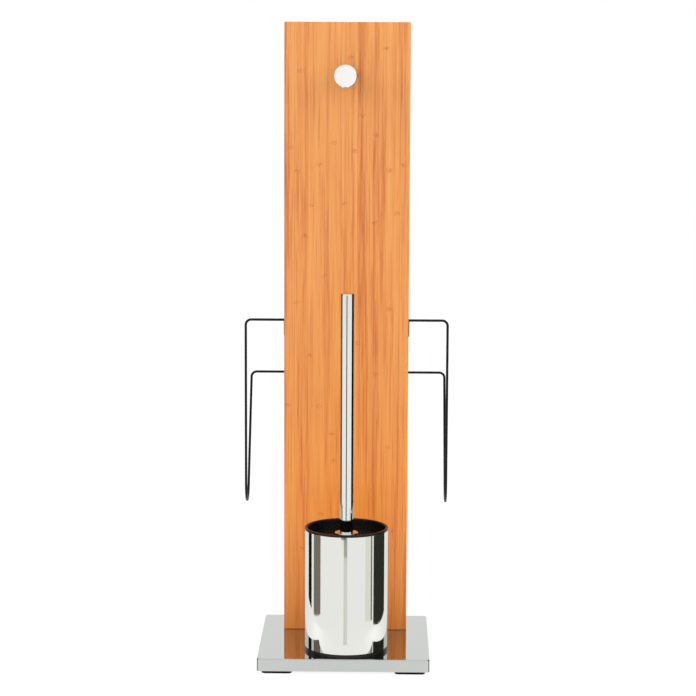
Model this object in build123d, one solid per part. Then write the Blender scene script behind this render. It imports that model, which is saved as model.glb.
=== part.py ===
from build123d import *
import math
import os

# Free-standing toilet roll and brush stand. Millimetres, +Z up, -Y towards the user.
# The origin is on the floor, in the middle of the whole stand's outline seen from above.

# Base: a mirror-polished steel cover folded over a heavy plate, closed by a panel below
base_width = 200.0
base_depth = 200.0
base_height = 14.6
base_corner_radius = 4.0
base_edge_bend = 1.5
cover_sheet = 1.0
cover_gap = 0.5
panel_thickness = 2.0
panel_screw_reach = 85.0
panel_screw_radius = 2.0
panel_screw_head_radius = 3.8
panel_screw_length = 9.0

# Rubber pads under the corners of the base
foot_height = 3.4
foot_size = 35.0
foot_corner_radius = 5.0
foot_side_inset = 5.5
foot_front_inset = 3.0

# Bamboo back board, screwed to the base from below
board_width = 148.0
board_thickness = 18.0
board_height = 728.5
board_setback = 131.5
board_edge_radius = 1.0
board_screw_spacing = 90.0
board_screw_radius = 3.0
board_screw_head_radius = 6.0
board_screw_head_height = 3.5
board_screw_bite = 36.0
board_screw_access_gap = 1.5

# Spare-roll rod: one steel tube that stands out of the board towards the user
rod_diameter = 25.4
rod_wall = 1.2
rod_length = 130.0
rod_drop = 61.5
rod_cap_thickness = 2.2
rod_cap_chamfer = 0.8
rod_cap_spigot = 8.0
rod_insert_length = 16.0
rod_screw_radius = 3.0
rod_screw_bite = 12.0
rod_screw_head_radius = 5.25
rod_screw_head_height = 3.3
rod_screw_socket = 4.0
rod_screw_socket_depth = 2.0
rod_washer_radius = 9.0
rod_washer_thickness = 1.6

# Magazine rack: one closed loop of wire, folded into a V behind the board
wire_diameter = 3.0
rack_width = 242.0
rack_near_height = 393.3
rack_far_height = 313.0
rack_low_height = 168.0
rack_fold_radius = 27.0
rack_lean = 27.0
rack_corner_radius = 6.5
rack_plate_height = 22.0
rack_plate_thickness = 1.5
rack_plate_overhang = 1.2
rack_plate_corner_radius = 3.0
rack_weld_depth = 0.4
rack_screw_spacing = 110.0
rack_screw_drop = 13.5
rack_screw_radius = 2.0
rack_screw_length = 14.0
rack_screw_head_radius = 3.9
rack_screw_head_height = 2.4
rack_screw_slot_width = 0.9
rack_screw_slot_length = 4.4
rack_screw_slot_depth = 1.2

# Brush canister: steel sleeve held between a plastic liner's rim and a plastic foot ring
canister_diameter = 97.4
canister_height = 145.2
canister_front_gap = 2.2
canister_side_offset = 2.5
sleeve_wall = 0.8
rim_height = 2.5
rim_overhang = 0.15
rim_edge_radius = 1.5
liner_gap = 0.2
liner_mouth_wall = 2.4
liner_wall = 2.0
liner_floor = 2.2
lid_depth = 12.0
lid_thickness = 3.0
lid_clearance = 0.4
lid_ledge = 2.5
lid_edge_radius = 0.8
foot_ring_height = 4.4
foot_ring_overhang = 0.35
foot_ring_edge_radius = 0.5
foot_ring_recess = 1.2
foot_ring_rim = 6.0
foot_ring_upstand = 4.5

# Brush: steel tube handle, chrome collar, plastic lid and a replaceable bristle head
handle_diameter = 16.0
handle_wall = 0.8
handle_length = 285.5
handle_cap_thickness = 2.0
handle_cap_spigot = 10.0
handle_cap_radius = 1.2
handle_insert_length = 18.0
collar_diameter = 27.6
collar_height = 5.5
collar_chamfer = 0.5
collar_floor = 1.2
stud_radius = 4.0
stud_bite = 13.0
socket_depth = 24.0
neck_radius = 11.0
neck_length = 37.0
core_radius = 13.0
bristle_root_wall = 2.0
bristle_side_gap = 4.4
bristle_floor_gap = 3.0
strand_width = 1.3
strand_level_pitch = 4.0
strands_per_level = 24
dome_ring_count = 5
dome_ring_step = 18.0

# Fits
press_gap = 0.05
screw_gap = 0.05
shank_gap = 0.25

# Heights and places that follow from the sizes above
base_bottom = foot_height
base_top = base_bottom + base_height
wire_radius = wire_diameter / 2
fold_half_angle = math.radians(rack_lean / 2)
fold_apex_height = rack_low_height + rack_fold_radius - rack_fold_radius / math.tan(fold_half_angle)
rack_spread = (rack_far_height - fold_apex_height) * math.tan(math.radians(rack_lean))
plate_setback = board_setback + board_thickness + rack_plate_thickness
near_wire_setback = plate_setback + wire_radius - rack_weld_depth
overall_depth = near_wire_setback + rack_spread + wire_radius
front = -overall_depth / 2
base_middle_y = front + base_depth / 2
board_front = front + board_setback
board_back = board_front + board_thickness
board_top = base_top + board_height
board_middle_y = board_front + board_thickness / 2
rod_radius = rod_diameter / 2
rod_front = board_front - rod_length
rod_height = board_top - rod_drop
near_wire_y = front + near_wire_setback
rack_plate_top = rack_near_height + wire_radius
rack_screw_height = rack_plate_top - rack_screw_drop

canister_radius = canister_diameter / 2
canister_x = canister_side_offset
canister_y = front + canister_front_gap + canister_radius
rim_top = base_top + canister_height
rim_bottom = rim_top - rim_height
foot_ring_top = base_top + foot_ring_height
sleeve_bore = canister_radius - sleeve_wall
liner_radius = sleeve_bore - liner_gap
mouth_radius = liner_radius - liner_mouth_wall
ledge_radius = mouth_radius - lid_ledge
liner_lower_radius = ledge_radius + liner_wall
liner_floor_top = foot_ring_top + liner_floor

lid_top = rim_top - lid_depth
lid_bottom = lid_top - lid_thickness
lid_radius = mouth_radius - lid_clearance
handle_radius = handle_diameter / 2
handle_top = lid_top + handle_length
handle_bottom = lid_top + collar_floor
handle_bore = handle_radius - handle_wall
head_top = lid_bottom - neck_length
head_bottom = liner_floor_top + bristle_floor_gap
bristle_radius = ledge_radius - bristle_side_gap
root_radius = core_radius + bristle_root_wall
dome_centre_height = head_bottom + bristle_radius


def block(x_low, x_high, y_low, y_high, z_low, z_high):
    """Box between two corners."""
    size = Box(x_high - x_low, y_high - y_low, z_high - z_low, align=(Align.MIN,) * 3)
    return Pos(x_low, y_low, z_low) * size


def upright(radius, z_low, z_high, x=0.0, y=0.0):
    """Round bar that stands between two heights."""
    bar = Cylinder(radius, z_high - z_low, align=(Align.CENTER, Align.CENTER, Align.MIN))
    return Pos(x, y, z_low) * bar


def level_bar(radius, y_low, y_high, x, z):
    """Round bar that lies along Y."""
    bar = Cylinder(radius, y_high - y_low, align=(Align.CENTER, Align.CENTER, Align.MIN))
    return Pos(x, y_low, z) * Rot(X=-90) * bar


def rounded_slab(width, depth, z_low, z_high, corner, y=0.0, x=0.0):
    """Flat slab with rounded upright corners."""
    return Pos(x, y, z_low) * extrude(RectangleRounded(width, depth, corner), z_high - z_low)


def turned(points, x, y):
    """Solid of revolution about an upright axis, from an outline of radius and height."""
    outline = make_face(Polyline(*[(radius, 0, height) for radius, height in points], close=True))
    return Pos(x, y, 0) * revolve(outline, Axis.Z)


def head_cone(x, y, z_head, head_radius, head_height, radius):
    """Flat conical screw head that narrows upwards."""
    cone = Cone(head_radius, radius, head_height, align=(Align.CENTER, Align.CENTER, Align.MIN))
    return Pos(x, y, z_head) * cone


def countersunk_screw(x, y, z_head, head_radius, head_height, radius, z_tip):
    """Screw that points up, with its flat head at the bottom and a short blunt point."""
    point = radius / 2
    head = head_cone(x, y, z_head, head_radius, head_height, radius)
    shank = upright(radius, z_head + head_height, z_tip, x, y)
    return head + chamfer(shank.edges().group_by(Axis.Z)[-1], point)


def countersink(x, y, z_head, head_radius, head_height, radius, gap, z_end):
    """Room for such a screw: its cone and its shank, both grown by the gap."""
    cone = head_cone(x, y, z_head, head_radius + gap, head_height, radius + gap)
    return cone + upright(radius + gap, z_head, z_end, x, y)


def mirrored_pair(half_spacing):
    """The two places left and right of the middle."""
    return (-half_spacing, half_spacing)


# Places of the fasteners, shared by each screw and its holes
panel_screw_places = [
    (-panel_screw_reach, 0),
    (panel_screw_reach, 0),
    (0, -panel_screw_reach),
    (0, panel_screw_reach),
]
board_screw_xs = mirrored_pair(board_screw_spacing / 2)
rack_screw_xs = mirrored_pair(rack_screw_spacing / 2)
panel_top = base_bottom + panel_thickness
weight_width = base_width - 2 * (cover_sheet + cover_gap)
weight_depth = base_depth - 2 * (cover_sheet + cover_gap)
weight_corner = base_corner_radius - cover_sheet - cover_gap


def make_base_cover():
    outer = rounded_slab(base_width, base_depth, base_bottom, base_top, base_corner_radius)
    outer = fillet(outer.edges().group_by(Axis.Z)[-1], base_edge_bend)
    inner_corner = base_corner_radius - cover_sheet
    inner_top = base_top - cover_sheet
    inner_width = base_width - 2 * cover_sheet
    inner_depth = base_depth - 2 * cover_sheet
    inner = rounded_slab(inner_width, inner_depth, base_bottom, inner_top, inner_corner)
    inner = fillet(inner.edges().group_by(Axis.Z)[-1], base_edge_bend - cover_sheet)
    cover = Pos(0, base_middle_y, 0) * (outer - inner)
    for x in board_screw_xs:
        cover -= upright(board_screw_radius + shank_gap, inner_top, base_top, x, board_middle_y)
    return cover


def make_base_weight():
    weight_top = base_top - cover_sheet
    weight = rounded_slab(weight_width, weight_depth, panel_top, weight_top, weight_corner)
    weight = Pos(0, base_middle_y, 0) * fillet(weight.edges().group_by(Axis.Z)[-1], base_edge_bend)
    for x in board_screw_xs:
        weight -= countersink(x, board_middle_y, panel_top, board_screw_head_radius,
                              board_screw_head_height, board_screw_radius, shank_gap, weight_top)
    for x, y in panel_screw_places:
        hole_top = base_bottom + panel_screw_length + screw_gap
        weight -= upright(panel_screw_radius + screw_gap, panel_top, hole_top, x, base_middle_y + y)
    return weight


def make_base_panel():
    panel = rounded_slab(weight_width, weight_depth, base_bottom, panel_top, weight_corner)
    panel = Pos(0, base_middle_y, 0) * panel
    for x, y in panel_screw_places:
        panel -= countersink(x, base_middle_y + y, base_bottom, panel_screw_head_radius,
                             panel_thickness, panel_screw_radius, screw_gap, panel_top)
    access_radius = board_screw_head_radius + board_screw_access_gap
    for x in board_screw_xs:
        panel -= upright(access_radius, base_bottom, panel_top, x, board_middle_y)
    return panel


def make_panel_screws():
    screws = [
        countersunk_screw(x, base_middle_y + y, base_bottom, panel_screw_head_radius,
                          panel_thickness, panel_screw_radius, base_bottom + panel_screw_length)
        for x, y in panel_screw_places
    ]
    return Compound(children=screws)


def make_foot_pad(side, end):
    reach_x = base_width / 2 - foot_side_inset - foot_size / 2
    reach_y = base_depth / 2 - foot_front_inset - foot_size / 2
    pad_y = base_middle_y + end * reach_y
    return rounded_slab(foot_size, foot_size, 0, foot_height, foot_corner_radius, pad_y, side * reach_x)


def make_board_screws():
    screws = [
        countersunk_screw(x, board_middle_y, panel_top, board_screw_head_radius,
                          board_screw_head_height, board_screw_radius, base_top + board_screw_bite)
        for x in board_screw_xs
    ]
    return Compound(children=screws)


def make_back_board():
    board = block(-board_width / 2, board_width / 2, board_front, board_back, base_top, board_top)
    board = fillet(board.edges(), board_edge_radius)
    for x in board_screw_xs:
        hole_top = base_top + board_screw_bite
        board -= upright(board_screw_radius + screw_gap, base_top, hole_top, x, board_middle_y)
    board -= level_bar(rod_screw_radius + shank_gap, board_front, board_back, 0, rod_height)
    pilot_front = board_back + rack_plate_thickness - rack_screw_length
    for x in rack_screw_xs:
        pilot_radius = rack_screw_radius + screw_gap
        board -= level_bar(pilot_radius, pilot_front, board_back, x, rack_screw_height)
    return board


def make_roll_rod():
    tube_front = rod_front + rod_cap_thickness
    tube = level_bar(rod_radius, tube_front, board_front, 0, rod_height)
    return tube - level_bar(rod_radius - rod_wall, tube_front, board_front, 0, rod_height)


def make_rod_end_cap():
    plate_back = rod_front + rod_cap_thickness
    plate = level_bar(rod_radius, rod_front, plate_back, 0, rod_height)
    plate = chamfer(plate.edges().group_by(Axis.Y)[0], rod_cap_chamfer)
    spigot_radius = rod_radius - rod_wall - press_gap
    return plate + level_bar(spigot_radius, plate_back, plate_back + rod_cap_spigot, 0, rod_height)


def make_rod_insert():
    insert_front = board_front - rod_insert_length
    plug = level_bar(rod_radius - rod_wall - press_gap, insert_front, board_front, 0, rod_height)
    bore_front = board_front - rod_screw_bite - screw_gap
    return plug - level_bar(rod_screw_radius + screw_gap, bore_front, board_front, 0, rod_height)


def make_rod_washer():
    washer_back = board_back + rod_washer_thickness
    washer = level_bar(rod_washer_radius, board_back, washer_back, 0, rod_height)
    return washer - level_bar(rod_screw_radius + shank_gap, board_back, washer_back, 0, rod_height)


def make_rod_screw():
    head_front = board_back + rod_washer_thickness
    head_back = head_front + rod_screw_head_height
    head = level_bar(rod_screw_head_radius, head_front, head_back, 0, rod_height)
    head = fillet(head.edges().group_by(Axis.Y)[-1], rod_screw_head_height / 2)
    socket = extrude(RegularPolygon(rod_screw_socket / 2, 6, major_radius=False), rod_screw_socket_depth)
    head -= Pos(0, head_back - rod_screw_socket_depth, rod_height) * Rot(X=-90) * socket
    return head + level_bar(rod_screw_radius, board_front - rod_screw_bite, head_front, 0, rod_height)


def make_rack_wire():
    """Half of the loop is swept from the middle of the near run to the middle of the far run."""
    lean = math.radians(rack_lean)
    half_width = rack_width / 2
    fold_y = near_wire_y + rack_fold_radius
    fold_z = rack_low_height + rack_fold_radius
    corner = rack_corner_radius

    def far_leg(distance):
        """Point of the leaning plane, at a distance down the leg from the far run."""
        y = near_wire_y + rack_spread - distance * math.sin(lean)
        return y, rack_far_height - distance * math.cos(lean)

    def arc_point(centre, start, end):
        """Middle of the quarter arc about a corner's centre, from its two ends."""
        middle = (Vector(*start) + Vector(*end)) / 2 - Vector(*centre)
        return Vector(*centre) + middle.normalized() * corner

    near_top = (half_width - corner, near_wire_y, rack_near_height)
    near_side = (half_width, near_wire_y, rack_near_height - corner)
    near_centre = (half_width - corner, near_wire_y, rack_near_height - corner)
    far_top = (half_width - corner, *far_leg(0))
    far_side = (half_width, *far_leg(corner))
    far_centre = (half_width - corner, *far_leg(corner))
    fold_near = (half_width, near_wire_y, fold_z)
    fold_low_y = fold_y - rack_fold_radius * math.sin(lean / 2)
    fold_low_z = fold_z - rack_fold_radius * math.cos(lean / 2)
    fold_middle = (half_width, fold_low_y, fold_low_z)
    fold_end_y = fold_y + rack_fold_radius * math.cos(lean)
    fold_end_z = fold_z - rack_fold_radius * math.sin(lean)
    fold_far = (half_width, fold_end_y, fold_end_z)
    path = Wire([
        Edge.make_line((0, near_wire_y, rack_near_height), near_top),
        Edge.make_three_point_arc(near_top, arc_point(near_centre, near_top, near_side), near_side),
        Edge.make_line(near_side, fold_near),
        Edge.make_three_point_arc(fold_near, fold_middle, fold_far),
        Edge.make_line(fold_far, far_side),
        Edge.make_three_point_arc(far_side, arc_point(far_centre, far_side, far_top), far_top),
        Edge.make_line(far_top, (0, *far_leg(0))),
    ])
    section = Plane(origin=(0, near_wire_y, rack_near_height), z_dir=(1, 0, 0)) * Circle(wire_radius)
    half = sweep(section, path=path)
    return half + mirror(half, about=Plane.YZ)


def make_rack_plate(wire):
    half_width = board_width / 2 + rack_plate_overhang
    plate_bottom = rack_plate_top - rack_plate_height
    plate_back = board_back + rack_plate_thickness
    plate = block(-half_width, half_width, board_back, plate_back, plate_bottom, rack_plate_top)
    lower_corners = plate.edges().filter_by(Axis.Y).group_by(Axis.Z)[0]
    plate = fillet(lower_corners, rack_plate_corner_radius)
    for x in rack_screw_xs:
        plate -= level_bar(rack_screw_radius + shank_gap, board_back, plate_back, x, rack_screw_height)
    return plate - wire


def make_rack_screws():
    head_front = board_back + rack_plate_thickness
    head_back = head_front + rack_screw_head_height
    screws = []
    for x in rack_screw_xs:
        head = level_bar(rack_screw_head_radius, head_front, head_back, x, rack_screw_height)
        head = fillet(head.edges().group_by(Axis.Y)[-1], rack_screw_head_height / 2)
        slot_front = head_back - rack_screw_slot_depth
        long_half = rack_screw_slot_length / 2
        thin_half = rack_screw_slot_width / 2
        for half_x, half_z in ((long_half, thin_half), (thin_half, long_half)):
            head -= block(x - half_x, x + half_x, slot_front, head_back,
                          rack_screw_height - half_z, rack_screw_height + half_z)
        tip = head_front - rack_screw_length
        screws.append(head + level_bar(rack_screw_radius, tip, head_front, x, rack_screw_height))
    return Compound(children=screws)


def make_canister_sleeve():
    sleeve = upright(canister_radius, foot_ring_top, rim_bottom, canister_x, canister_y)
    return sleeve - upright(sleeve_bore, foot_ring_top, rim_bottom, canister_x, canister_y)


def make_canister_liner():
    rim_radius = canister_radius + rim_overhang
    ledge_bottom = lid_bottom - lid_ledge
    bucket = turned([
        (0, foot_ring_top),
        (liner_lower_radius, foot_ring_top),
        (liner_lower_radius, ledge_bottom),
        (liner_radius, lid_bottom),
        (liner_radius, rim_bottom),
        (rim_radius, rim_bottom),
        (rim_radius, rim_top),
        (mouth_radius, rim_top),
        (mouth_radius, lid_bottom),
        (ledge_radius, lid_bottom),
        (ledge_radius, liner_floor_top),
        (0, liner_floor_top),
    ], canister_x, canister_y)
    return fillet(bucket.edges().group_by(Axis.Z)[-1], rim_edge_radius)


def make_canister_foot_ring():
    ring_radius = canister_radius + foot_ring_overhang
    upstand_top = foot_ring_top + foot_ring_upstand
    upstand_radius = sleeve_bore - liner_gap
    upstand_bore = liner_lower_radius + liner_gap
    ring = turned([
        (0, base_top + foot_ring_recess),
        (ring_radius - foot_ring_rim, base_top + foot_ring_recess),
        (ring_radius - foot_ring_rim, base_top),
        (ring_radius, base_top),
        (ring_radius, foot_ring_top),
        (upstand_radius, foot_ring_top),
        (upstand_radius, upstand_top),
        (upstand_bore, upstand_top),
        (upstand_bore, foot_ring_top),
        (0, foot_ring_top),
    ], canister_x, canister_y)
    outer_edges = ring.edges().filter_by(GeomType.CIRCLE)
    outer_edges = outer_edges.filter_by(lambda edge: abs(edge.radius - ring_radius) < press_gap)
    return fillet(outer_edges, foot_ring_edge_radius)


def make_handle_tube():
    tube_top = handle_top - handle_cap_thickness
    tube = upright(handle_radius, handle_bottom, tube_top, canister_x, canister_y)
    return tube - upright(handle_bore, handle_bottom, tube_top, canister_x, canister_y)


def make_handle_cap():
    cap_bottom = handle_top - handle_cap_thickness
    cap = upright(handle_radius, cap_bottom, handle_top, canister_x, canister_y)
    cap = fillet(cap.edges().group_by(Axis.Z)[-1], handle_cap_radius)
    spigot_bottom = cap_bottom - handle_cap_spigot
    return cap + upright(handle_bore - press_gap, spigot_bottom, cap_bottom, canister_x, canister_y)


def make_handle_insert():
    insert_top = handle_bottom + handle_insert_length
    plug = upright(handle_bore - press_gap, handle_bottom, insert_top, canister_x, canister_y)
    bore_top = handle_bottom + stud_bite + screw_gap
    return plug - upright(stud_radius + screw_gap, handle_bottom, bore_top, canister_x, canister_y)


def make_handle_collar():
    skirt_radius = collar_diameter / 2
    seat_radius = handle_radius + press_gap
    collar_top = lid_top + collar_height
    return turned([
        (stud_radius + screw_gap, lid_top),
        (skirt_radius, lid_top),
        (skirt_radius, collar_top - collar_chamfer),
        (skirt_radius - collar_chamfer, collar_top),
        (seat_radius, collar_top),
        (seat_radius, handle_bottom),
        (stud_radius + screw_gap, handle_bottom),
    ], canister_x, canister_y)


def make_lid_disc():
    disc = upright(lid_radius, lid_bottom, lid_top, canister_x, canister_y)
    disc = fillet(disc.edges().group_by(Axis.Z)[-1], lid_edge_radius)
    return disc - upright(stud_radius + screw_gap, lid_bottom, lid_top, canister_x, canister_y)


def make_brush_stud():
    stud_bottom = lid_bottom - socket_depth + screw_gap
    return upright(stud_radius, stud_bottom, handle_bottom + stud_bite, canister_x, canister_y)


def make_brush_core():
    """Neck, flange under the lid and the plug that carries the bristles."""
    flare = core_radius - neck_radius
    core = turned([
        (0, dome_centre_height),
        (core_radius, dome_centre_height),
        (core_radius, head_top),
        (neck_radius, head_top + flare),
        (neck_radius, lid_bottom - flare),
        (core_radius, lid_bottom),
        (0, lid_bottom),
    ], canister_x, canister_y)
    socket_bottom = lid_bottom - socket_depth
    return core - upright(stud_radius + screw_gap, socket_bottom, lid_bottom, canister_x, canister_y)


def strand(polar_angle, turn, root_height, root_distance, tip_distance):
    """Square bristle that leaves the axis at a polar angle from straight down."""
    length = tip_distance - root_distance
    bar = Box(strand_width, strand_width, length, align=(Align.CENTER, Align.CENTER, Align.MIN))
    aimed = Rot(Y=180 - polar_angle) * Pos(0, 0, root_distance) * bar
    return Pos(canister_x, canister_y, root_height) * Rot(Z=turn) * aimed


def make_brush_bristles():
    """Closed-ended root sleeve over the core, with bristles round it and over its domed end."""
    sunk_root = root_radius - bristle_root_wall / 2
    sleeve = turned([
        (core_radius + press_gap, dome_centre_height),
        (root_radius, dome_centre_height),
        (root_radius, head_top),
        (core_radius + press_gap, head_top),
    ], canister_x, canister_y)
    dome = Sphere(root_radius) - upright(root_radius, 0, root_radius)
    sleeve += Pos(canister_x, canister_y, dome_centre_height) * dome
    level_count = int((head_top - dome_centre_height - strand_width) / strand_level_pitch)
    strands = []
    for level in range(level_count):
        height = dome_centre_height + strand_width + (level + 0.5) * strand_level_pitch
        for place in range(strands_per_level):
            turn = (place + level % 2 / 2) * 360 / strands_per_level
            strands.append(strand(90, turn, height, sunk_root, bristle_radius))
    for ring in range(dome_ring_count):
        polar_angle = ring * dome_ring_step
        count = max(1, round(strands_per_level * math.sin(math.radians(polar_angle))))
        for place in range(count):
            turn = (place + 0.5) * 360 / count
            strands.append(strand(polar_angle, turn, dome_centre_height, sunk_root, bristle_radius))
    return sleeve.fuse(*strands)


rack_wire = make_rack_wire()
parts = {
    "base_cover": make_base_cover(),
    "base_weight": make_base_weight(),
    "base_bottom_panel": make_base_panel(),
    "base_panel_screws": make_panel_screws(),
    "foot_pad_front_left": make_foot_pad(-1, -1),
    "foot_pad_front_right": make_foot_pad(1, -1),
    "foot_pad_back_left": make_foot_pad(-1, 1),
    "foot_pad_back_right": make_foot_pad(1, 1),
    "back_board": make_back_board(),
    "board_screws": make_board_screws(),
    "roll_rod": make_roll_rod(),
    "rod_end_cap": make_rod_end_cap(),
    "rod_threaded_insert": make_rod_insert(),
    "rod_washer": make_rod_washer(),
    "rod_screw": make_rod_screw(),
    "rack_wire": rack_wire,
    "rack_plate": make_rack_plate(rack_wire),
    "rack_screws": make_rack_screws(),
    "canister_sleeve": make_canister_sleeve(),
    "canister_liner": make_canister_liner(),
    "canister_foot_ring": make_canister_foot_ring(),
    "handle_tube": make_handle_tube(),
    "handle_end_cap": make_handle_cap(),
    "handle_threaded_insert": make_handle_insert(),
    "handle_collar": make_handle_collar(),
    "brush_lid": make_lid_disc(),
    "brush_stud": make_brush_stud(),
    "brush_core": make_brush_core(),
    "brush_bristles": make_brush_bristles(),
}

os.makedirs("parts", exist_ok=True)
for name, shape in parts.items():
    export_step(shape, f"parts/{name}.step")
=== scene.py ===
import math

import bpy
from mathutils import Euler, Matrix, Vector


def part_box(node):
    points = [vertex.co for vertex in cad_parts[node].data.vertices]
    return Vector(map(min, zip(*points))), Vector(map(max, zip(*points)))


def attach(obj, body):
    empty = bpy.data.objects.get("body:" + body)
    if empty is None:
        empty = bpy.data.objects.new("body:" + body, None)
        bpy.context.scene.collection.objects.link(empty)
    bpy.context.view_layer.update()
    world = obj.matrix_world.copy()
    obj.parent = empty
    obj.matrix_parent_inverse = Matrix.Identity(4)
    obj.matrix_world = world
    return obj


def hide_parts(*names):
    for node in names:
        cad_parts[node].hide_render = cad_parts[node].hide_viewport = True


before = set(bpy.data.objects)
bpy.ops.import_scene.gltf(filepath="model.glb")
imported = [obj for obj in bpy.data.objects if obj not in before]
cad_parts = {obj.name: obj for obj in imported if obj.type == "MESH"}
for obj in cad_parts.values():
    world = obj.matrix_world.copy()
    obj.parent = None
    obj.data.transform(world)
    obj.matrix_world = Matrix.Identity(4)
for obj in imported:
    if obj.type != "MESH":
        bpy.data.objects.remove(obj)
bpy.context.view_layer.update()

stage_view = bpy.context.scene
stage_view.view_settings.view_transform = "Standard"


# The view
# A long lens stands 2.4 m in front of the stand, a little to the right, level with the rod and
# tilted down so that the tops of the base and the canister just open.
lens = bpy.data.cameras.new("view_lens")
lens.sensor_width = 36
lens.lens = 112.38
camera = bpy.data.objects.new("view_camera", lens)
stage_view.collection.objects.link(camera)
tilt_and_turn = Euler((math.radians(90 - 7.784), 0, math.radians(0.9014))).to_matrix()
camera_turn = tilt_and_turn @ Matrix.Rotation(math.radians(0.247), 3, "Z")
camera.matrix_world = Matrix.Translation((0.04241, -2.56694, 0.71275)) @ camera_turn.to_4x4()
stage_view.camera = camera


# Studio surroundings and floor
# A white room and a white sweep of floor. What a lens or a polished surface sees of them is pure
# white, while the light that they give to matt surfaces is lower, and the floor keeps a faint shadow.
def add_node(tree, kind, inputs=(), stops=(), **settings):
    """Adds a node with its settings. An input takes a value, or the socket that feeds it."""
    node = tree.nodes.new(kind)
    for setting, value in settings.items():
        setattr(node, setting, value)
    for socket, value in dict(inputs).items():
        if isinstance(value, bpy.types.NodeSocket):
            tree.links.new(value, node.inputs[socket])
        else:
            node.inputs[socket].default_value = value
    for index, (place, colour) in enumerate(stops):
        marks = node.color_ramp.elements
        mark = marks[index] if index < 2 else marks.new(place)
        mark.position = place
        mark.color = colour
    return node


def linear(code, strength=1.0):
    """Linear colour of an sRGB hex code such as "E7E8E2"."""
    shares = [int(code[place:place + 2], 16) / 255 for place in (0, 2, 4)]
    shares = [s / 12.92 if s <= 0.04045 else ((s + 0.055) / 1.055) ** 2.4 for s in shares]
    return (*[share * strength for share in shares], 1.0)


room = bpy.data.worlds.new("white_room")
stage_view.world = room
room.use_nodes = True
room_tree = room.node_tree
room_tree.nodes.clear()
room_path = add_node(room_tree, "ShaderNodeLightPath")
seen = add_node(room_tree, "ShaderNodeMath", {
    0: room_path.outputs["Is Camera Ray"], 1: room_path.outputs["Is Glossy Ray"]}, operation="MAXIMUM")
seen_through = add_node(room_tree, "ShaderNodeMath", {
    0: seen.outputs[0], 1: room_path.outputs["Is Transmission Ray"]}, operation="MAXIMUM")
room_light = add_node(room_tree, "ShaderNodeBackground", {"Color": linear("F4F7FF"), "Strength": 0.8})
room_seen = add_node(room_tree, "ShaderNodeBackground", {"Color": linear("FFFFFF"), "Strength": 1.0})
room_mix = add_node(room_tree, "ShaderNodeMixShader", {
    0: seen_through.outputs[0], 1: room_light.outputs[0], 2: room_seen.outputs[0]})
add_node(room_tree, "ShaderNodeOutputWorld", {"Surface": room_mix.outputs[0]})

bpy.ops.object.select_all(action="DESELECT")
bpy.ops.mesh.primitive_plane_add(size=12.0, location=(0, 0, 0))
floor = bpy.context.object
floor.name = "studio_floor"
floor_paint = bpy.data.materials.new("white_floor_sweep")
floor_paint.use_nodes = True
floor_tree = floor_paint.node_tree
floor_tree.nodes.clear()
floor_path = add_node(floor_tree, "ShaderNodeLightPath")
floor_seen = add_node(floor_tree, "ShaderNodeMath", {
    0: floor_path.outputs["Is Camera Ray"], 1: floor_path.outputs["Is Glossy Ray"]}, operation="MAXIMUM")
floor_matt = add_node(floor_tree, "ShaderNodeBsdfDiffuse", {"Color": linear("EDEDED")})
floor_thin = add_node(floor_tree, "ShaderNodeBsdfDiffuse", {"Color": linear("656565")})
floor_glow = add_node(floor_tree, "ShaderNodeEmission", {"Color": linear("FFFFFF"), "Strength": 0.92})
floor_shown = add_node(floor_tree, "ShaderNodeAddShader", {
    0: floor_thin.outputs[0], 1: floor_glow.outputs[0]})
floor_mix = add_node(floor_tree, "ShaderNodeMixShader", {
    0: floor_seen.outputs[0], 1: floor_matt.outputs[0], 2: floor_shown.outputs[0]})
add_node(floor_tree, "ShaderNodeOutputMaterial", {"Surface": floor_mix.outputs[0]})
floor.data.materials.append(floor_paint)


# Studio lamps
# Two wide soft boxes in front and above, left stronger than right, and a third over the top. Two
# small low ones stand for the light that the polished base throws on the foot of the board.
highest_aim = 0.35
for lamp_name, place, width, power in (
    ("soft_box_left", (-1.7, -2.3, 1.9), 2.2, 26),
    ("soft_box_right", (1.9, -2.1, 1.7), 2.2, 21),
    ("soft_box_top", (0.1, -0.5, 2.9), 2.2, 12),
    ("low_fill_left", (-0.22, -0.15, 0.09), 0.12, 0.28),
    ("low_fill_right", (0.22, -0.15, 0.09), 0.12, 0.28),
):
    glow = bpy.data.lights.new(lamp_name, "AREA")
    glow.shape = "SQUARE"
    glow.size = width
    glow.energy = power
    lamp = bpy.data.objects.new(lamp_name, glow)
    stage_view.collection.objects.link(lamp)
    lamp.location = place
    aim = Vector((0, 0, min(highest_aim, place[2] / 2))) - lamp.location
    lamp.rotation_euler = aim.to_track_quat("-Z", "Y").to_euler()
    lamp.visible_glossy = False
    lamp.visible_camera = False


# Studio cards
# Dark and grey cards stand round the canister, two taller ones hang above them for the handle, and
# strips of tape lie in front. Only polished surfaces see them, as the upright bands in the steel.
sleeve_low, sleeve_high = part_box("canister_sleeve")
axis_x = (sleeve_low.x + sleeve_high.x) / 2
axis_y = (sleeve_low.y + sleeve_high.y) / 2
steel_loss = 1.35


def beside_axis(turn, reach, height=0.0):
    """A place at an angle to the right of the front and a distance in mm from the canister's middle."""
    angle = math.radians(turn)
    metres = reach / 1000
    return Vector((axis_x + metres * math.sin(angle), axis_y - metres * math.cos(angle), height))


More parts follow.
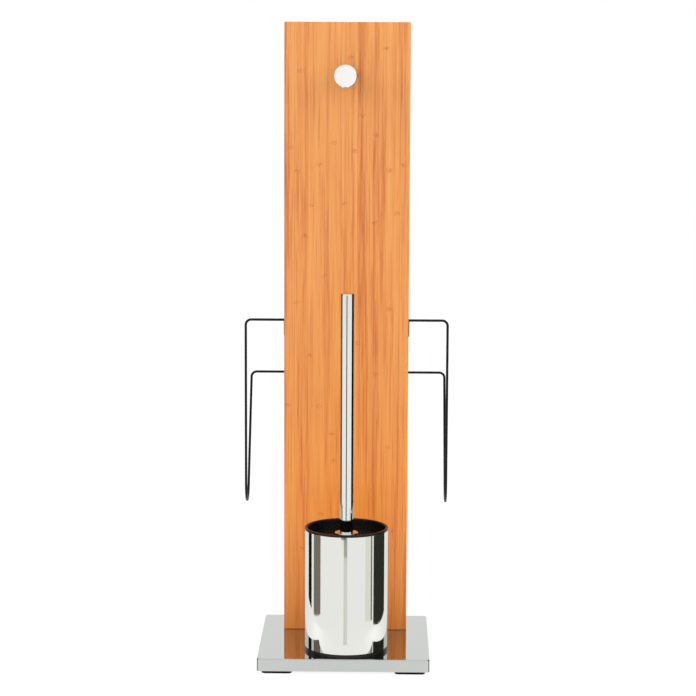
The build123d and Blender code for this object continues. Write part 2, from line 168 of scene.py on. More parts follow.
def make_card(name, corners, shade):
    """A card that only polished surfaces see. Its shade is the one seen in the steel, which dims it."""
    sheet = bpy.data.meshes.new(name)
    sheet.from_pydata(corners, [], [tuple(range(len(corners)))])
    card = bpy.data.objects.new(name, sheet)
    stage_view.collection.objects.link(card)
    paint = bpy.data.materials.new(name + "_paint")
    paint.use_nodes = True
    tree = paint.node_tree
    tree.nodes.clear()
    glow = add_node(tree, "ShaderNodeEmission", {"Color": linear(shade, steel_loss), "Strength": 1.0})
    add_node(tree, "ShaderNodeOutputMaterial", {"Surface": glow.outputs[0]})
    sheet.materials.append(paint)
    card.visible_camera = False
    card.visible_diffuse = False
    card.visible_transmission = False
    card.visible_shadow = False


low_cards = (0.0, 0.13)
high_cards = (0.13, 0.75)
for card_name, first, last, shade, (card_foot, card_top) in (
    ("dark_card_left", (-120.5, 355), (-103, 306), "141A18", low_cards),
    ("brown_card_left", (-93.5, 284), (-69.2, 298), "746A62", low_cards),
    ("pale_card_right", (50, 274), (66.4, 271), "D6D6D0", low_cards),
    ("grey_strip_right", (66.4, 271), (70.6, 270), "64645E", low_cards),
    ("dark_card_right", (74.3, 249), (122, 285), "2A2C26", low_cards),
    ("brown_card_high", (-86, 290), (-136, 310), "5E5244", high_cards),
    ("dark_card_high", (80, 270), (138, 300), "180C08", high_cards),
):
    make_card(card_name, [
        beside_axis(*first, card_foot), beside_axis(*last, card_foot),
        beside_axis(*last, card_top), beside_axis(*first, card_top)], shade)

tape_height = 0.0006
for tape_name, (near, far), (left_turn, right_turn), shade in (
    ("pale_tape", (170, 630), (-5.9, 3.3), "CCCCC8"),
    ("grey_tape", (630, 750), (-5.9, 3.3), "A2A29C"),
    ("dark_tape", (750, 4600), (-14, 1.5), "3A3B36"),
):
    make_card(tape_name, [
        beside_axis(left_turn, near, tape_height), beside_axis(left_turn, far, tape_height),
        beside_axis(right_turn, far, tape_height), beside_axis(right_turn, near, tape_height)], shade)


# Base
# A square of mirror-polished stainless sheet, folded down on four sides over a heavy plate. The
# folds are tight, the corners are closed and dressed, and the whole shell is buffed after folding.
def new_finish(name, inputs=()):
    """A material with one Principled shader, and the tree in which its pattern is laid out."""
    finish = bpy.data.materials.new(name)
    finish.use_nodes = True
    tree = finish.node_tree
    tree.nodes.clear()
    shader = add_node(tree, "ShaderNodeBsdfPrincipled", inputs)
    add_node(tree, "ShaderNodeOutputMaterial", {"Surface": shader.outputs[0]})
    return finish, tree, shader


def dress(finish, *names):
    """Gives solids of the frame their finish."""
    for name in names:
        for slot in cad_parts[name].material_slots:
            slot.material = finish


def polish(name, colour, tint, low, high, haze_mm):
    """Buffed metal: soft clouds of haze, a few millimetres across, change how sharply it mirrors."""
    finish, tree, shader = new_finish(name, {
        "Base Color": linear(colour), "Metallic": 1.0, "Specular Tint": linear(tint)})
    place = add_node(tree, "ShaderNodeTexCoord")
    haze = add_node(tree, "ShaderNodeTexNoise", {
        "Vector": place.outputs["Object"], "Scale": 1000 / haze_mm, "Detail": 4.0, "Roughness": 0.6})
    rub = add_node(tree, "ShaderNodeMapRange", {
        "Value": haze.outputs[0], "From Min": 0.3, "From Max": 0.7, "To Min": low, "To Max": high})
    tree.links.new(rub.outputs[0], shader.inputs["Roughness"])
    return finish


# Mirror-polished stainless: near-perfect reflections, a shade darker and bluer than chrome
stainless_shade = "BFC2BE"
# Colour of the painted reflection of shade down the base's four corners
painted_corner_shade_colour = "5A5E58"
mirror_stainless = polish("mirror_polished_stainless", stainless_shade, "FFFFFF", 0.02, 0.05, 14)
dress(mirror_stainless, "base_cover")

# The folds meet at four closed corners. Down each corner a thin dark line is painted into the steel's
# colour: a painted reflection of shade in the tight rounding there
base_low, base_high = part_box("base_cover")
corner_width = 0.0017
steel_tree = mirror_stainless.node_tree
steel_shader = next(node for node in steel_tree.nodes if node.type == "BSDF_PRINCIPLED")
steel_place = add_node(steel_tree, "ShaderNodeTexCoord")
steel_axes = add_node(steel_tree, "ShaderNodeSeparateXYZ", {0: steel_place.outputs["Object"]})
corner_sides = []
for axis_name, low_edge, high_edge in (("X", base_low.x, base_high.x), ("Y", base_low.y, base_high.y)):
    off_middle = add_node(steel_tree, "ShaderNodeMath", {
        0: steel_axes.outputs[axis_name], 1: (low_edge + high_edge) / 2}, operation="SUBTRACT")
    far_off = add_node(steel_tree, "ShaderNodeMath", {0: off_middle.outputs[0]}, operation="ABSOLUTE")
    corner_sides.append(add_node(steel_tree, "ShaderNodeMath", {
        0: far_off.outputs[0], 1: (high_edge - low_edge) / 2 - corner_width}, operation="GREATER_THAN"))
# Painted reflection of shade: darker colour where both masks meet, at the corners
painted_corner_reflection = add_node(steel_tree, "ShaderNodeMath", {
    0: corner_sides[0].outputs[0], 1: corner_sides[1].outputs[0]}, operation="MULTIPLY")
steel_colour = add_node(steel_tree, "ShaderNodeMix", {
    0: painted_corner_reflection.outputs[0], 6: linear(stainless_shade), 7: linear(painted_corner_shade_colour)}, data_type="RGBA")
steel_tree.links.new(steel_colour.outputs[2], steel_shader.inputs["Base Color"])


# Weight, bottom panel and feet
# A flame-cut steel plate fills the cover, a matt black sheet closes it from below with four
# countersunk screws, and four soft rubber pads are glued to the sheet's corners.
rolled_plate, plate_tree, plate_shader = new_finish("rolled_steel_plate", {"Metallic": 0.8})
plate_place = add_node(plate_tree, "ShaderNodeTexCoord")
plate_scale = add_node(plate_tree, "ShaderNodeTexNoise", {
    "Vector": plate_place.outputs["Object"], "Scale": 120.0, "Detail": 5.0})
plate_colour = add_node(plate_tree, "ShaderNodeValToRGB", {0: plate_scale.outputs[0]}, stops=(
    (0.35, linear("4A4A4C")), (0.65, linear("7A7673"))))
plate_tree.links.new(plate_colour.outputs[0], plate_shader.inputs["Base Color"])
plate_shader.inputs["Roughness"].default_value = 0.55
plate_bump = add_node(plate_tree, "ShaderNodeBump", {
    "Height": plate_scale.outputs[0], "Strength": 0.4, "Distance": 0.0002})
plate_tree.links.new(plate_bump.outputs[0], plate_shader.inputs["Normal"])
dress(rolled_plate, "base_weight")


def grain(name, dark, light, roughness, grain_mm, depth_mm, inputs=()):
    """A matt surface with an even grain: two close colours and a fine bump at the grain's size."""
    finish, tree, shader = new_finish(name, {"Roughness": roughness, **dict(inputs)})
    place = add_node(tree, "ShaderNodeTexCoord")
    cells = add_node(tree, "ShaderNodeTexNoise", {
        "Vector": place.outputs["Object"], "Scale": 1000 / grain_mm, "Detail": 3.0})
    shade = add_node(tree, "ShaderNodeValToRGB", {0: cells.outputs[0]}, stops=(
        (0.38, linear(dark)), (0.62, linear(light))))
    tree.links.new(shade.outputs[0], shader.inputs["Base Color"])
    relief = add_node(tree, "ShaderNodeBump", {
        "Height": cells.outputs[0], "Strength": 0.5, "Distance": depth_mm / 1000})
    tree.links.new(relief.outputs[0], shader.inputs["Normal"])
    return finish


# Embossed polypropylene sheet: matt black with a leathery grain
embossed_sheet = grain("embossed_black_sheet", "1C1C1C", "262626", 0.6, 0.9, 0.06)
# Moulded rubber: soft black that goes a little grey where light grazes it
moulded_rubber = grain("moulded_rubber", "0C0C0B", "151514", 0.75, 0.6, 0.04, {"Specular IOR Level": 0.2})
# Zinc plate: bluish silver, slightly mottled by the bath
zinc_plate = polish("zinc_plated_steel", "B9BEC2", "FFFFFF", 0.22, 0.4, 2.5)
dress(embossed_sheet, "base_bottom_panel")
dress(moulded_rubber, "foot_pad_front_left", "foot_pad_front_right",
      "foot_pad_back_left", "foot_pad_back_right")
dress(zinc_plate, "base_panel_screws", "board_screws")


# Back board
# Caramelised bamboo: eleven strips side by side and three layers deep, glued, planed flush and
# given a clear satin varnish. Each strip has its own tone, fine upright fibres and knuckles.
board_low, board_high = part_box("back_board")

# Left edge, right edge and tone of each strip, in mm from the middle. The first starts a little
# past the board, so that the left side face takes its tone. The right side face takes none, as the
# last strip's ramp is black again at exactly 1.0: a known fault of the look, kept as it is
strips = (
    (-74.3, -68.5, 0.36), (-68.5, -61.8, 0.50), (-61.8, -46.0, 0.46), (-46.0, -21.4, 0.53),
    (-21.4, -3.0, 0.55), (-3.0, 12.8, 0.57), (12.8, 20.6, 0.40), (20.6, 31.4, 0.53),
    (31.4, 37.2, 0.45), (37.2, 62.4, 0.54), (62.4, 74.3, 0.53),
)

# Middle and height of each knuckle, in mm
knuckles = (
    (-66.6, 600), (-58.7, 572), (-33.5, 580), (-40.5, 532), (-3.4, 534), (-49.1, 496), (-25.2, 448),
    (17.4, 638), (34.1, 615), (9.0, 596), (50.1, 574), (32.3, 512), (59.1, 523), (66.6, 580),
    (-15.5, 606), (-59.4, 417), (-44.2, 353), (-70.1, 293), (-32.4, 292), (-17.2, 258), (50.6, 409),
    (13.4, 368), (34.4, 331), (50.9, 243), (-14.5, 226), (-52.0, 118), (-30.0, 160), (28.0, 96),
    (57.0, 140), (4.0, 705), (45.0, 716), (-55.0, 690),
)
bamboo, bamboo_tree, bamboo_shader = new_finish("caramel_bamboo_panel", {
    "Coat Weight": 0.3, "Coat Roughness": 0.22, "Roughness": 0.42, "IOR": 1.48})
bamboo_place = add_node(bamboo_tree, "ShaderNodeTexCoord")
bamboo_axes = add_node(bamboo_tree, "ShaderNodeSeparateXYZ", {0: bamboo_place.outputs["Object"]})
across = add_node(bamboo_tree, "ShaderNodeMapRange", {
    "Value": bamboo_axes.outputs["X"], "From Min": board_low.x, "From Max": board_high.x})
layer_depth = 0.006
layer_stagger = 0.057
from_front = add_node(bamboo_tree, "ShaderNodeMath", {
    0: bamboo_axes.outputs["Y"], 1: board_low.y}, operation="SUBTRACT")
layers_in = add_node(bamboo_tree, "ShaderNodeMath", {
    0: from_front.outputs[0], 1: layer_depth}, operation="DIVIDE")
layer = add_node(bamboo_tree, "ShaderNodeMath", {0: layers_in.outputs[0]}, operation="FLOOR")
layer_shift = add_node(bamboo_tree, "ShaderNodeMath", {
    0: layer.outputs[0], 1: layer_stagger, 2: bamboo_axes.outputs["Z"]}, operation="MULTIPLY_ADD")
up = add_node(bamboo_tree, "ShaderNodeMapRange", {
    "Value": bamboo_axes.outputs["Z"], "From Min": board_low.z, "From Max": board_high.z})

board_width_mm = (board_high.x - board_low.x) * 1000
tone_sum = None
for left, right, tone in strips:
    left_share = max(0.0, left / board_width_mm + 0.5)
    right_share = min(1.0, right / board_width_mm + 0.5)
    strip_stops = ((left_share, (1, 1, 1, 1)), (right_share, (0, 0, 0, 1)))
    if left_share > 0:
        strip_stops = ((0.0, (0, 0, 0, 1)), *strip_stops)
    strip = add_node(bamboo_tree, "ShaderNodeValToRGB", {0: across.outputs[0]}, stops=strip_stops)
    strip.color_ramp.interpolation = "CONSTANT"
    tone_sum = add_node(bamboo_tree, "ShaderNodeMath", {
        0: strip.outputs[0], 1: tone, 2: tone_sum.outputs[0] if tone_sum else 0.0}, operation="MULTIPLY_ADD")

# Each knuckle is a soft oval patch, 9 mm wide and 6 mm high, that runs through the strip's depth
knuckle_half_width = 4.5
knuckle_half_height = 3.2
front_place = add_node(bamboo_tree, "ShaderNodeCombineXYZ", {
    "X": bamboo_axes.outputs["X"], "Y": 0.0, "Z": layer_shift.outputs[0]})
stretched = add_node(bamboo_tree, "ShaderNodeVectorMath", {
    0: front_place.outputs[0], 1: (1000 / knuckle_half_width, 1.0, 1000 / knuckle_half_height)},
    operation="MULTIPLY")
knuckle_gap = None
for middle_mm, height_mm in knuckles:
    from_knuckle = add_node(bamboo_tree, "ShaderNodeVectorMath", {
        0: stretched.outputs[0],
        1: (middle_mm / knuckle_half_width, 0.0, height_mm / knuckle_half_height)}, operation="DISTANCE")
    knuckle_gap = add_node(bamboo_tree, "ShaderNodeMath", {
        0: from_knuckle.outputs["Value"], 1: knuckle_gap.outputs[0] if knuckle_gap else 9.0},
        operation="MINIMUM")
knuckle_patch = add_node(bamboo_tree, "ShaderNodeMapRange", {
    "Value": knuckle_gap.outputs[0], "From Min": 1.15, "From Max": 0.3})

# Fibres are 0.3 mm bundles in the real thing, drawn here 1.7 mm apart so that they show, and run
# upright; broader bands of 6 mm follow the strips' sapwood and outer skin
fibre_place = add_node(bamboo_tree, "ShaderNodeMapping", {
    "Vector": bamboo_place.outputs["Object"], "Scale": (1 / 0.0017, 1 / 0.0017, 1 / 0.075)})
fibres = add_node(bamboo_tree, "ShaderNodeTexNoise", {
    "Vector": fibre_place.outputs[0], "Scale": 1.0, "Detail": 3.0, "Roughness": 0.6})
band_place = add_node(bamboo_tree, "ShaderNodeMapping", {
    "Vector": bamboo_place.outputs["Object"], "Scale": (1 / 0.006, 1 / 0.006, 1 / 0.35)})
bands = add_node(bamboo_tree, "ShaderNodeTexNoise", {
    "Vector": band_place.outputs[0], "Scale": 1.0, "Detail": 2.0, "Roughness": 0.5})
fibre_part = add_node(bamboo_tree, "ShaderNodeMapRange", {
    "Value": fibres.outputs[0], "From Min": 0.3, "From Max": 0.7, "To Min": -0.27, "To Max": 0.25})
band_part = add_node(bamboo_tree, "ShaderNodeMapRange", {
    "Value": bands.outputs[0], "From Min": 0.3, "From Max": 0.7, "To Min": -0.2, "To Max": 0.2})
grain_sum = add_node(bamboo_tree, "ShaderNodeMath", {0: fibre_part.outputs[0], 1: band_part.outputs[0]})
tone_and_grain = add_node(bamboo_tree, "ShaderNodeMath", {0: grain_sum.outputs[0], 1: tone_sum.outputs[0]})
grain_tint = add_node(bamboo_tree, "ShaderNodeValToRGB", {0: tone_and_grain.outputs[0]}, stops=(
    (0.05, (0.70, 0.42, 0.26, 1)), (0.95, (1.10, 1.26, 1.5, 1)), (0.5, (1.0, 1.0, 1.0, 1))))

# The strips darken towards the foot of the board: painted shade, where less light reaches near the floor
painted_shade_by_height = add_node(bamboo_tree, "ShaderNodeValToRGB", {0: up.outputs[0]}, stops=(
    (0.0, linear("C67328")), (1.0, linear("E3934A")), (0.25, linear("D68132")), (0.5, linear("E08D42"))))
grained = add_node(bamboo_tree, "ShaderNodeMix", {
    0: 1.0, 6: painted_shade_by_height.outputs[0], 7: grain_tint.outputs[0]}, data_type="RGBA", blend_type="MULTIPLY")

# Glue lines between the strips and layers show as thin dark seams
seam_half = 0.35
seam_marks = []
for left, right, tone in strips[1:]:
    share = left / board_width_mm + 0.5
    half = seam_half / board_width_mm
    seam_marks += [(share - half, (0, 0, 0, 1)), (share, (1, 1, 1, 1)), (share + half, (0, 0, 0, 1))]
side_seams = add_node(bamboo_tree, "ShaderNodeValToRGB", {0: across.outputs[0]}, stops=seam_marks)
layer_share = add_node(bamboo_tree, "ShaderNodeMath", {0: layers_in.outputs[0]}, operation="FRACT")
layer_seams = add_node(bamboo_tree, "ShaderNodeValToRGB", {0: layer_share.outputs[0]}, stops=(
    (0.0, (1, 1, 1, 1)), (1.0, (1, 1, 1, 1)), (0.05, (0, 0, 0, 1)), (0.95, (0, 0, 0, 1))))
face_skin = 0.0015
inside_front = add_node(bamboo_tree, "ShaderNodeMath", {
    0: from_front.outputs[0], 1: face_skin}, operation="GREATER_THAN")
inside_back = add_node(bamboo_tree, "ShaderNodeMath", {
    0: from_front.outputs[0], 1: board_high.y - board_low.y - face_skin}, operation="LESS_THAN")
inside = add_node(bamboo_tree, "ShaderNodeMath", {
    0: inside_front.outputs[0], 1: inside_back.outputs[0]}, operation="MULTIPLY")
deep_seams = add_node(bamboo_tree, "ShaderNodeMath", {
    0: layer_seams.outputs[0], 1: inside.outputs[0]}, operation="MULTIPLY")
seams = add_node(bamboo_tree, "ShaderNodeMath", {
    0: side_seams.outputs[0], 1: deep_seams.outputs[0]}, operation="MAXIMUM")
seam_strength = add_node(bamboo_tree, "ShaderNodeMath", {0: seams.outputs[0], 1: 0.4}, operation="MULTIPLY")
seamed = add_node(bamboo_tree, "ShaderNodeMix", {
    0: seam_strength.outputs[0], 6: grained.outputs[2], 7: linear("94480F")}, data_type="RGBA")

# A knuckle is a row of brown pores 1 to 2 mm wide, where the cane had its joint
pore_place = add_node(bamboo_tree, "ShaderNodeMapping", {
    "Vector": bamboo_place.outputs["Object"], "Scale": (1 / 0.0011, 1 / 0.0011, 1 / 0.0016)})
pores = add_node(bamboo_tree, "ShaderNodeTexNoise", {
    "Vector": pore_place.outputs[0], "Scale": 1.0, "Detail": 2.0})
pore_dots = add_node(bamboo_tree, "ShaderNodeMapRange", {
    "Value": pores.outputs[0], "From Min": 0.46, "From Max": 0.56})
knuckle_mask = add_node(bamboo_tree, "ShaderNodeMath", {
    0: knuckle_patch.outputs[0], 1: pore_dots.outputs[0]}, operation="MULTIPLY")
knuckle_strength = add_node(bamboo_tree, "ShaderNodeMath", {
    0: knuckle_mask.outputs[0], 1: 0.6}, operation="MULTIPLY")
marked = add_node(bamboo_tree, "ShaderNodeMix", {
    0: knuckle_strength.outputs[0], 6: seamed.outputs[2], 7: linear("A24E14")}, data_type="RGBA")
bamboo_tree.links.new(marked.outputs[2], bamboo_shader.inputs["Base Color"])
bamboo_relief = add_node(bamboo_tree, "ShaderNodeBump", {
    "Height": fibres.outputs[0], "Strength": 0.25, "Distance": 0.00012})
bamboo_tree.links.new(bamboo_relief.outputs[0], bamboo_shader.inputs["Normal"])
dress(bamboo, "back_board")


# Spare-roll rod
# A one-inch stainless tube with a turned steel cap pressed into its front end. A long screw from
# behind the board pulls it tight.
sharp_angle = math.radians(35)


def turn_piece(name, outline, middle, edge_mm=0.0, tilt=0.0, closed=False, sides=160):
    """Turns a piece on a lathe from an outline of radii and heights in mm, then sets it in place."""
    bpy.ops.object.select_all(action="DESELECT")
    bpy.ops.mesh.primitive_circle_add(
        vertices=sides, radius=outline[0][0] / 1000, location=(0, 0, outline[0][1] / 1000))
    piece = bpy.context.object
    piece.name = name
    bpy.ops.object.mode_set(mode="EDIT")
    bpy.ops.mesh.select_mode(type="EDGE")
    bpy.ops.mesh.select_all(action="SELECT")
    for (radius, height), (next_radius, next_height) in zip(outline, outline[1:]):
        bpy.ops.mesh.extrude_region_move(
            TRANSFORM_OT_translate={"value": (0, 0, (next_height - height) / 1000)})
        grow = next_radius / radius
        bpy.ops.transform.resize(value=(grow, grow, 1), center_override=(0, 0, next_height / 1000))
    if closed:
        bpy.ops.mesh.select_all(action="DESELECT")
        bpy.ops.mesh.select_non_manifold(extend=False)
        bpy.ops.mesh.bridge_edge_loops()
    else:
        bpy.ops.mesh.select_all(action="SELECT")
        bpy.ops.mesh.fill_holes(sides=0)
    bpy.ops.mesh.select_all(action="SELECT")
    bpy.ops.mesh.normals_make_consistent(inside=False)
    bpy.ops.object.mode_set(mode="OBJECT")
    bpy.ops.object.transform_apply(location=True, rotation=True, scale=True)
    piece.rotation_euler = (tilt, 0, 0)
    piece.location = middle
    bpy.ops.object.transform_apply(location=True, rotation=True, scale=True)
    if edge_mm:
        rounding = piece.modifiers.new("broken_edges", "BEVEL")
        rounding.width = edge_mm / 1000
        rounding.segments = 3
        rounding.limit_method = "ANGLE"
        rounding.angle_limit = sharp_angle
        bpy.ops.object.modifier_apply(modifier=rounding.name)
    bpy.ops.object.shade_smooth_by_angle(angle=sharp_angle)
    evened = piece.modifiers.new("flat_faces", "WEIGHTED_NORMAL")
    evened.keep_sharp = True
    bpy.ops.object.modifier_apply(modifier=evened.name)
    return piece


def arc(middle_radius, middle_height, radius, start, stop, steps=6):
    """Points of a rounded edge in an outline, in mm and degrees."""
    angles = [math.radians(start + (stop - start) * step / steps) for step in range(steps + 1)]
    return [(middle_radius + radius * math.cos(a), middle_height + radius * math.sin(a)) for a in angles]


def place_piece(piece, body, slot, finish, *nodes):
    """Gives a modelled piece its finish and lets it stand for its solid of the frame."""
    piece.data.materials.clear()
    piece.data.materials.append(finish)
    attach(piece, body)
    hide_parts(*nodes)


# Drawn and buffed stainless tube: bright, faintly warm, with a soft haze from the buffing mop
polished_stainless = polish("polished_stainless_tube", "DFE0DA", "F0F0F0", 0.03, 0.07, 9)
# Turned and lacquered steel: the whitest metal on the stand, mirror flat
turned_steel = polish("turned_bright_steel", "F7F5F2", "FFFFFF", 0.03, 0.06, 5)

rod_low, rod_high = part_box("roll_rod")
cap_low, cap_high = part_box("rod_end_cap")
rod_radius = (rod_high.x - rod_low.x) * 500
rod_middle = Vector(((rod_low.x + rod_high.x) / 2, 0, (rod_low.z + rod_high.z) / 2))
rod_wall = 1.2
rod_front = -rod_low.y * 1000
rod_back = -rod_high.y * 1000
lying = math.radians(90)
rod_tube = turn_piece("rod_tube_turned", [
    (rod_radius - rod_wall, rod_back), (rod_radius, rod_back),
    (rod_radius, rod_front), (rod_radius - rod_wall, rod_front),
], rod_middle, edge_mm=0.15, tilt=lying, closed=True)
place_piece(rod_tube, "stand", "polished_steel", polished_stainless, "roll_rod")

cap_front = -cap_low.y * 1000
cap_chamfer = 0.8
press_gap = 0.05
cap_spigot_radius = rod_radius - rod_wall - press_gap
rod_cap = turn_piece("rod_cap_turned", [
    (0.8, -cap_high.y * 1000), (cap_spigot_radius, -cap_high.y * 1000), (cap_spigot_radius, rod_front),
    (rod_radius, rod_front), (rod_radius, cap_front - cap_chamfer),
    (rod_radius - cap_chamfer, cap_front), (0.8, cap_front),
], rod_middle, edge_mm=0.16, tilt=lying)
place_piece(rod_cap, "stand", "polished_steel", turned_steel, "rod_end_cap")

# Glossy moulded plastic: nearly black, its gloss kept low so that it stays deep
black_polymer = grain("moulded_black_polymer", "12110E", "1B1A16", 0.26, 3.0, 0.02, {
    "IOR": 1.49, "Specular IOR Level": 0.24})
dress(black_polymer, "rod_threaded_insert")
dress(zinc_plate, "rod_washer", "rod_screw")


# Magazine rack
# One loop of 3 mm wire, bent into a V and welded to a flat plate, then powder-coated black and
# baked. Two blackened screws hold the plate to the board's back.
# Powder coat: deep black with a fine orange-peel surface
powder_coat = grain("black_powder_coat", "080808", "101010", 0.38, 0.7, 0.03, {
    "IOR": 1.5, "Specular IOR Level": 0.25})
dress(powder_coat, "rack_wire", "rack_plate")
# Blackened steel: dark grey oxide that shows its machining
blackened_screw = grain("blackened_screw_steel", "141414", "202020", 0.38, 0.8, 0.02, {"Metallic": 0.6})
dress(blackened_screw, "rack_screws")


# Canister
# A polished stainless sleeve is held between the rim of a black moulded bucket and a black foot
# ring. The bucket lifts out to be rinsed.
canister_middle = Vector((axis_x, axis_y, 0))
sleeve_radius = (sleeve_high.x - sleeve_low.x) * 500
sleeve_wall = 0.8
sleeve_foot = sleeve_low.z * 1000
sleeve_top = sleeve_high.z * 1000
sleeve = turn_piece("canister_sleeve_rolled", [
    (sleeve_radius - sleeve_wall, sleeve_foot), (sleeve_radius, sleeve_foot),
    (sleeve_radius, sleeve_top), (sleeve_radius - sleeve_wall, sleeve_top),
], canister_middle, edge_mm=0.15, closed=True, sides=256)
place_piece(sleeve, "canister", "polished_steel", polished_stainless, "canister_sleeve")

liner_low, liner_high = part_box("canister_liner")
rim_radius = (liner_high.x - liner_low.x) * 500
rim_top = liner_high.z * 1000
rim_round = 1.45
mouth_radius = 45.3
inside_radius = 42.8
ledge = rim_top - 15.0
liner_wall_radius = 47.7
liner_lower_radius = 44.8
liner_floor = 2.2
liner = turn_piece("canister_liner_moulded", [
    (0.8, sleeve_foot + liner_floor), (inside_radius, sleeve_foot + liner_floor),
    (inside_radius, ledge), (mouth_radius, ledge),
    *arc(mouth_radius + rim_round, rim_top - rim_round, rim_round, 180, 90),
    *arc(rim_radius - rim_round, rim_top - rim_round, rim_round, 90, 0),
    (rim_radius, sleeve_top), (liner_wall_radius, sleeve_top), (liner_wall_radius, ledge),
    (liner_lower_radius, ledge - 2.5), (liner_lower_radius, sleeve_foot), (0.8, sleeve_foot),
], canister_middle, edge_mm=0.2, sides=192)
place_piece(liner, "canister", "black_plastic", black_polymer, "canister_liner")

ring_low, ring_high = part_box("canister_foot_ring")
ring_radius = (ring_high.x - ring_low.x) * 500
ring_foot = ring_low.z * 1000
foot_ring = turn_piece("canister_foot_ring_moulded", [
    (0.8, ring_foot + 1.2), (ring_radius - 6.0, ring_foot + 1.2), (ring_radius - 6.0, ring_foot),
    (ring_radius, ring_foot), (ring_radius, sleeve_foot), (liner_wall_radius, sleeve_foot),
    (liner_wall_radius, ring_high.z * 1000), (liner_lower_radius + 0.2, ring_high.z * 1000),
    (liner_lower_radius + 0.2, sleeve_foot), (0.8, sleeve_foot),
], canister_middle, edge_mm=0.4, sides=192)
place_piece(foot_ring, "canister", "black_plastic", black_polymer, "canister_foot_ring")


# Brush
# A stainless tube handle with a pressed-in cap stands in a chromed collar on a round black lid. A
# stud below the lid carries a moulded core with tufts of black nylon.
handle_low, handle_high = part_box("handle_tube")
grip_radius = (handle_high.x - handle_low.x) * 500
grip_wall = 0.8
grip_foot = handle_low.z * 1000
grip_top = handle_high.z * 1000
handle = turn_piece("handle_tube_drawn", [
    (grip_radius - grip_wall, grip_foot), (grip_radius, grip_foot),
    (grip_radius, grip_top), (grip_radius - grip_wall, grip_top),
], canister_middle, edge_mm=0.12, closed=True, sides=128)
place_piece(handle, "brush", "polished_steel", polished_stainless, "handle_tube")

end_low, end_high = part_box("handle_end_cap")
end_top = end_high.z * 1000
end_round = 1.2
handle_cap = turn_piece("handle_cap_turned", [
    (0.5, end_low.z * 1000), (grip_radius - grip_wall - press_gap, end_low.z * 1000),
    (grip_radius - grip_wall - press_gap, grip_top), (grip_radius, grip_top),
    *arc(grip_radius - end_round, end_top - end_round, end_round, 0, 90), (0.5, end_top),
], canister_middle, edge_mm=0.1, sides=128)
place_piece(handle_cap, "brush", "polished_steel", polished_stainless, "handle_end_cap")

# Chrome plate: the brightest and sharpest mirror on the stand
bright_chrome = polish("bright_chrome_plate", "E4E4E6", "FFFFFF", 0.02, 0.05, 6)
collar_low, collar_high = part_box("handle_collar")
collar_radius = (collar_high.x - collar_low.x) * 500
collar_foot = collar_low.z * 1000
collar_top = collar_high.z * 1000
collar_chamfer = 0.5
stud_hole = 3.3
collar = turn_piece("handle_collar_turned", [
    (stud_hole, collar_foot), (collar_radius, collar_foot), (collar_radius, collar_top - collar_chamfer),
    (collar_radius - collar_chamfer, collar_top), (grip_radius + press_gap, collar_top),
    (grip_radius + press_gap, grip_foot), (stud_hole, grip_foot),
], canister_middle, edge_mm=0.12, closed=True, sides=128)
place_piece(collar, "brush", "bright_chrome", bright_chrome, "handle_collar")

lid_low, lid_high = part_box("brush_lid")
lid_radius = (lid_high.x - lid_low.x) * 500
lid_top = lid_high.z * 1000
lid_round = 0.8
lid = turn_piece("brush_lid_moulded", [
    (stud_hole, lid_low.z * 1000), (lid_radius, lid_low.z * 1000),
    *arc(lid_radius - lid_round, lid_top - lid_round, lid_round, 0, 90), (stud_hole, lid_top),
], canister_middle, edge_mm=0.15, closed=True, sides=192)
place_piece(lid, "brush", "black_plastic", black_polymer, "brush_lid")
dress(black_polymer, "handle_threaded_insert", "brush_core")
dress(zinc_plate, "brush_stud")

# Nylon filament: black with a faint sheen along each bristle
nylon = grain("black_nylon_bristle", "0C0C0C", "181818", 0.38, 0.5, 0.01)
bristle_low, bristle_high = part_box("brush_bristles")
tip_gap = 0.25
bristle_reach = (bristle_high.x - bristle_low.x) * 500 - tip_gap
head_bottom = bristle_low.z * 1000
head_top = bristle_high.z * 1000
root_radius = 15.0
core_radius = 13.1
dome_height = head_bottom + bristle_reach + tip_gap
roots = turn_piece("brush_bristle_roots", [
    *arc(0, dome_height, root_radius, -88, 0, 12), (root_radius, head_top), (core_radius, head_top),
    (core_radius, dome_height - 0.1),
], canister_middle, sides=64)

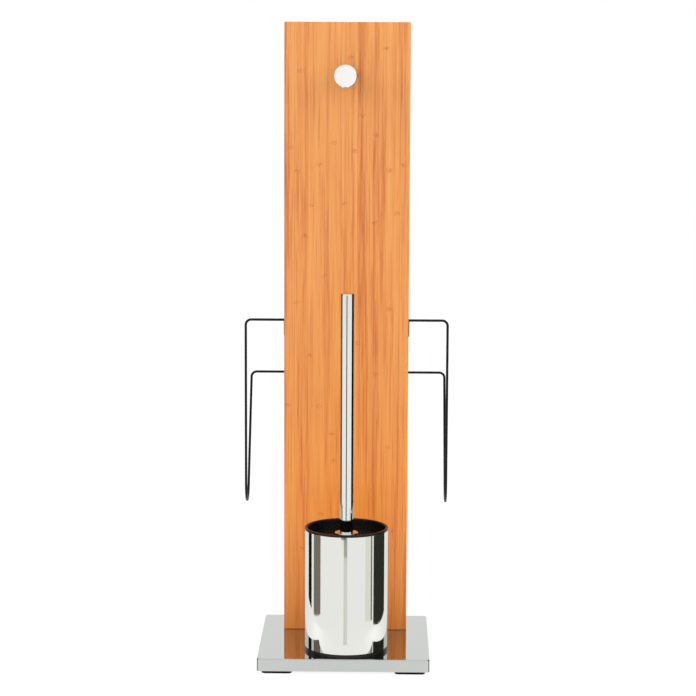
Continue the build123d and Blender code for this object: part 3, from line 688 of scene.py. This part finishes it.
filament_count = 10
root_depth = 14.0
foot_spread = 0.55
tip_spread = 1.75
foot_thickness = 0.28
tip_thickness = 0.18
golden_turn = math.radians(137.5)
tuft_parts = []
for filament in range(filament_count):
    swing = filament * golden_turn
    share = math.sqrt((filament + 0.5) / filament_count)
    side = Vector((share * math.cos(swing), share * math.sin(swing), 0))
    foot_place = side * foot_spread + Vector((0, 0, root_depth))
    tip_place = side * tip_spread + Vector((0, 0, bristle_reach - 0.1))
    lean = tip_place - foot_place
    bpy.ops.object.select_all(action="DESELECT")
    bpy.ops.mesh.primitive_cone_add(
        vertices=4, radius1=foot_thickness / 1000, radius2=tip_thickness / 1000,
        depth=lean.length / 1000, location=(foot_place + tip_place) / 2000,
        rotation=lean.to_track_quat("Z", "Y").to_euler())
    bpy.ops.object.transform_apply(location=True, rotation=True, scale=True)
    tuft_parts.append(bpy.context.object)
bpy.ops.object.select_all(action="DESELECT")
for part in tuft_parts:
    part.select_set(True)
bpy.context.view_layer.objects.active = tuft_parts[0]
bpy.ops.object.join()
tuft = bpy.context.object

tuft_aims = []
tufts_per_row = 24
row_count = 10
row_pitch = 4.0
first_row = 3.3
twist_step = 2.4
for row in range(row_count):
    for step in range(tufts_per_row):
        turn = (step + 0.5 * (row % 2)) * math.tau / tufts_per_row
        tuft_aims.append((turn, 0.0, dome_height + first_row + row_pitch * row))
for drop, count in ((72, 7), (54, 14), (36, 19), (18, 23)):
    for step in range(count):
        tuft_aims.append(((step + 0.25) * math.tau / count, math.radians(drop), dome_height))
tuft_aims.append((0.0, math.radians(90), dome_height))
copies = []
for index, (turn, drop, height) in enumerate(tuft_aims):
    aim = Vector((math.cos(turn) * math.cos(drop), math.sin(turn) * math.cos(drop), -math.sin(drop)))
    copy = bpy.data.objects.new("tuft_copy", tuft.data.copy())
    stage_view.collection.objects.link(copy)
    twist = Matrix.Rotation(index * twist_step, 4, "Z")
    pose = Matrix.Translation(canister_middle + Vector((0, 0, height / 1000)))
    copy.data.transform(pose @ aim.to_track_quat("Z", "Y").to_matrix().to_4x4() @ twist)
    copies.append(copy)
bpy.data.objects.remove(tuft)
bpy.ops.object.select_all(action="DESELECT")
for copy in copies:
    copy.select_set(True)
roots.select_set(True)
bpy.context.view_layer.objects.active = roots
bpy.ops.object.join()
bristles = bpy.context.object
bristles.name = "brush_bristle_tufts"
place_piece(bristles, "brush", "bristle", nylon, "brush_bristles")
